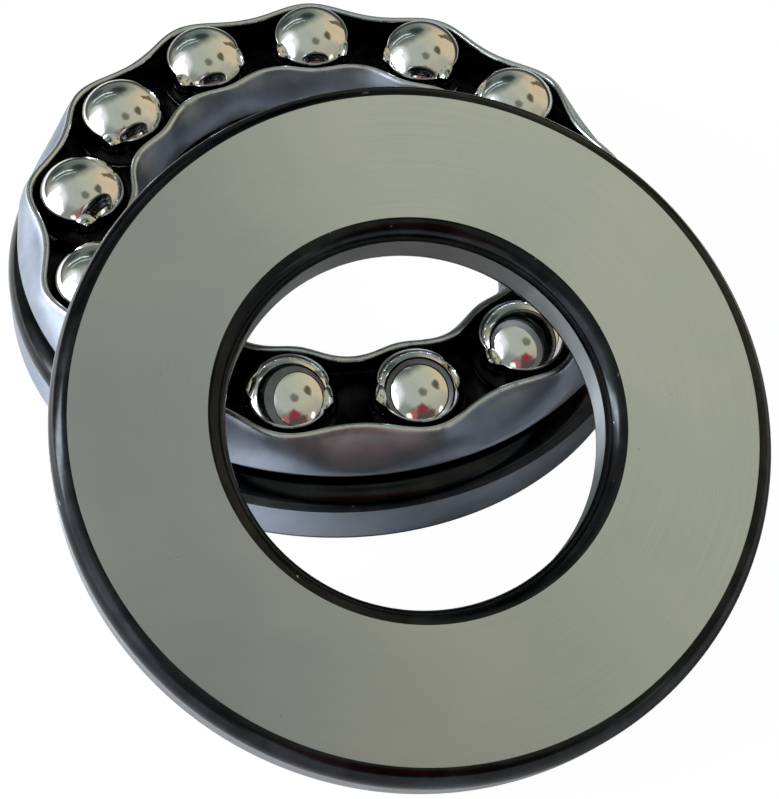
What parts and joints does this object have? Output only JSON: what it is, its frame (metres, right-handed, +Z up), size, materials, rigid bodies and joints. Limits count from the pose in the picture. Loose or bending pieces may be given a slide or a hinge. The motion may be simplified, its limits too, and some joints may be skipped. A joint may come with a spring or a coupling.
{
  "type": "thrust ball bearing",
  "caption": "Single-direction thrust ball bearing opened for display: grooved housing washer with caged balls, and a flat-faced shaft washer leaning across it.",
  "frame": {"origin": "centre of the footprint of the whole layout, on the table", "axes": "+Z up along the housing washer's axis; -Y towards the low edge of the leaning shaft washer, +Y towards the ring of balls"},
  "size_m": [0.1065, 0.1365, 0.044],
  "materials": {
    "washer_steel": "satin ground faces with dark polished edges",
    "cage_steel": "satin pressed sheet, oiled",
    "ball_steel": "mirror polished"
  },
  "bodies": {
    "housing_washer": {"housing_washer": "washer_steel"},
    "cage": {"cage": "cage_steel"},
    "ball_01": {"ball_01": "ball_steel"},
    "ball_02": {"ball_02": "ball_steel"},
    "ball_03": {"ball_03": "ball_steel"},
    "ball_04": {"ball_04": "ball_steel"},
    "ball_05": {"ball_05": "ball_steel"},
    "ball_06": {"ball_06": "ball_steel"},
    "ball_07": {"ball_07": "ball_steel"},
    "ball_08": {"ball_08": "ball_steel"},
    "ball_09": {"ball_09": "ball_steel"},
    "ball_10": {"ball_10": "ball_steel"},
    "ball_11": {"ball_11": "ball_steel"},
    "ball_12": {"ball_12": "ball_steel"},
    "ball_13": {"ball_13": "ball_steel"},
    "shaft_washer": {"shaft_washer": "washer_steel"}
  },
  "joints": [
    {"name": "cage_orbit", "type": "hinge", "parent": "housing_washer", "child": "cage", "pos_m": [-0.0057, 0.0208, 0.0158], "axis": [0, 0, 1], "continuous": true},
    {"name": "ball_01_roll", "type": "hinge", "parent": "cage", "child": "ball_01", "pos_m": [0.02966, 0.02877, 0.0158], "axis": [0.9755, 0.2198, 0], "continuous": true},
    {"name": "ball_02_roll", "type": "hinge", "parent": "cage", "child": "ball_02", "pos_m": [0.02191, 0.04429, 0.0158], "axis": [0.7616, 0.648, 0], "continuous": true},
    {"name": "ball_03_roll", "type": "hinge", "parent": "cage", "child": "ball_03", "pos_m": [0.00783, 0.05443, 0.0158], "axis": [0.3732, 0.9277, 0], "continuous": true},
    {"name": "ball_04_roll", "type": "hinge", "parent": "cage", "child": "ball_04", "pos_m": [-0.00935, 0.05687, 0.0158], "axis": [-0.1007, 0.9949, 0], "continuous": true},
    {"name": "ball_05_roll", "type": "hinge", "parent": "cage", "child": "ball_05", "pos_m": [-0.02569, 0.05104, 0.0158], "axis": [-0.5515, 0.8342, 0], "continuous": true},
    {"name": "ball_06_roll", "type": "hinge", "parent": "cage", "child": "ball_06", "pos_m": [-0.03745, 0.03828, 0.0158], "axis": [-0.876, 0.4823, 0], "continuous": true},
    {"name": "ball_07_roll", "type": "hinge", "parent": "cage", "child": "ball_07", "pos_m": [-0.04194, 0.02153, 0.0158], "axis": [-0.9998, 0.02, 0], "continuous": true},
    {"name": "ball_08_roll", "type": "hinge", "parent": "cage", "child": "ball_08", "pos_m": [-0.03813, 0.0046, 0.0158], "axis": [-0.8946, -0.4469, 0], "continuous": true},
    {"name": "ball_09_roll", "type": "hinge", "parent": "cage", "child": "ball_09", "pos_m": [-0.02688, -0.00862, 0.0158], "axis": [-0.5844, -0.8115, 0], "continuous": true},
    {"name": "ball_10_roll", "type": "hinge", "parent": "cage", "child": "ball_10", "pos_m": [-0.01079, -0.01509, 0.0158], "axis": [-0.1404, -0.9901, 0], "continuous": true},
    {"name": "ball_11_roll", "type": "hinge", "parent": "cage", "child": "ball_11", "pos_m": [0.00647, -0.01334, 0.0158], "axis": [0.3358, -0.9419, 0], "continuous": true},
    {"name": "ball_12_roll", "type": "hinge", "parent": "cage", "child": "ball_12", "pos_m": [0.02095, -0.00378, 0.0158], "axis": [0.7351, -0.678, 0], "continuous": true},
    {"name": "ball_13_roll", "type": "hinge", "parent": "cage", "child": "ball_13", "pos_m": [0.02932, 0.01142, 0.0158], "axis": [0.966, -0.2587, 0], "continuous": true},
    {"name": "shaft_washer_spin", "type": "hinge", "parent": "housing_washer", "child": "shaft_washer", "pos_m": [0.0062, -0.0252, 0.02672], "axis": [0.0891, -0.3738, 0.9232], "continuous": true}
  ],
  "couplings": [
    {"joint": "ball_01_roll", "follows": "cage_orbit", "ratio": -5.3728},
    {"joint": "ball_02_roll", "follows": "cage_orbit", "ratio": -5.3728},
    {"joint": "ball_03_roll", "follows": "cage_orbit", "ratio": -5.3728},
    {"joint": "ball_04_roll", "follows": "cage_orbit", "ratio": -5.3728},
    {"joint": "ball_05_roll", "follows": "cage_orbit", "ratio": -5.3728},
    {"joint": "ball_06_roll", "follows": "cage_orbit", "ratio": -5.3728},
    {"joint": "ball_07_roll", "follows": "cage_orbit", "ratio": -5.3728},
    {"joint": "ball_08_roll", "follows": "cage_orbit", "ratio": -5.3728},
    {"joint": "ball_09_roll", "follows": "cage_orbit", "ratio": -5.3728},
    {"joint": "ball_10_roll", "follows": "cage_orbit", "ratio": -5.3728},
    {"joint": "ball_11_roll", "follows": "cage_orbit", "ratio": -5.3728},
    {"joint": "ball_12_roll", "follows": "cage_orbit", "ratio": -5.3728},
    {"joint": "ball_13_roll", "follows": "cage_orbit", "ratio": -5.3728}
  ]
}
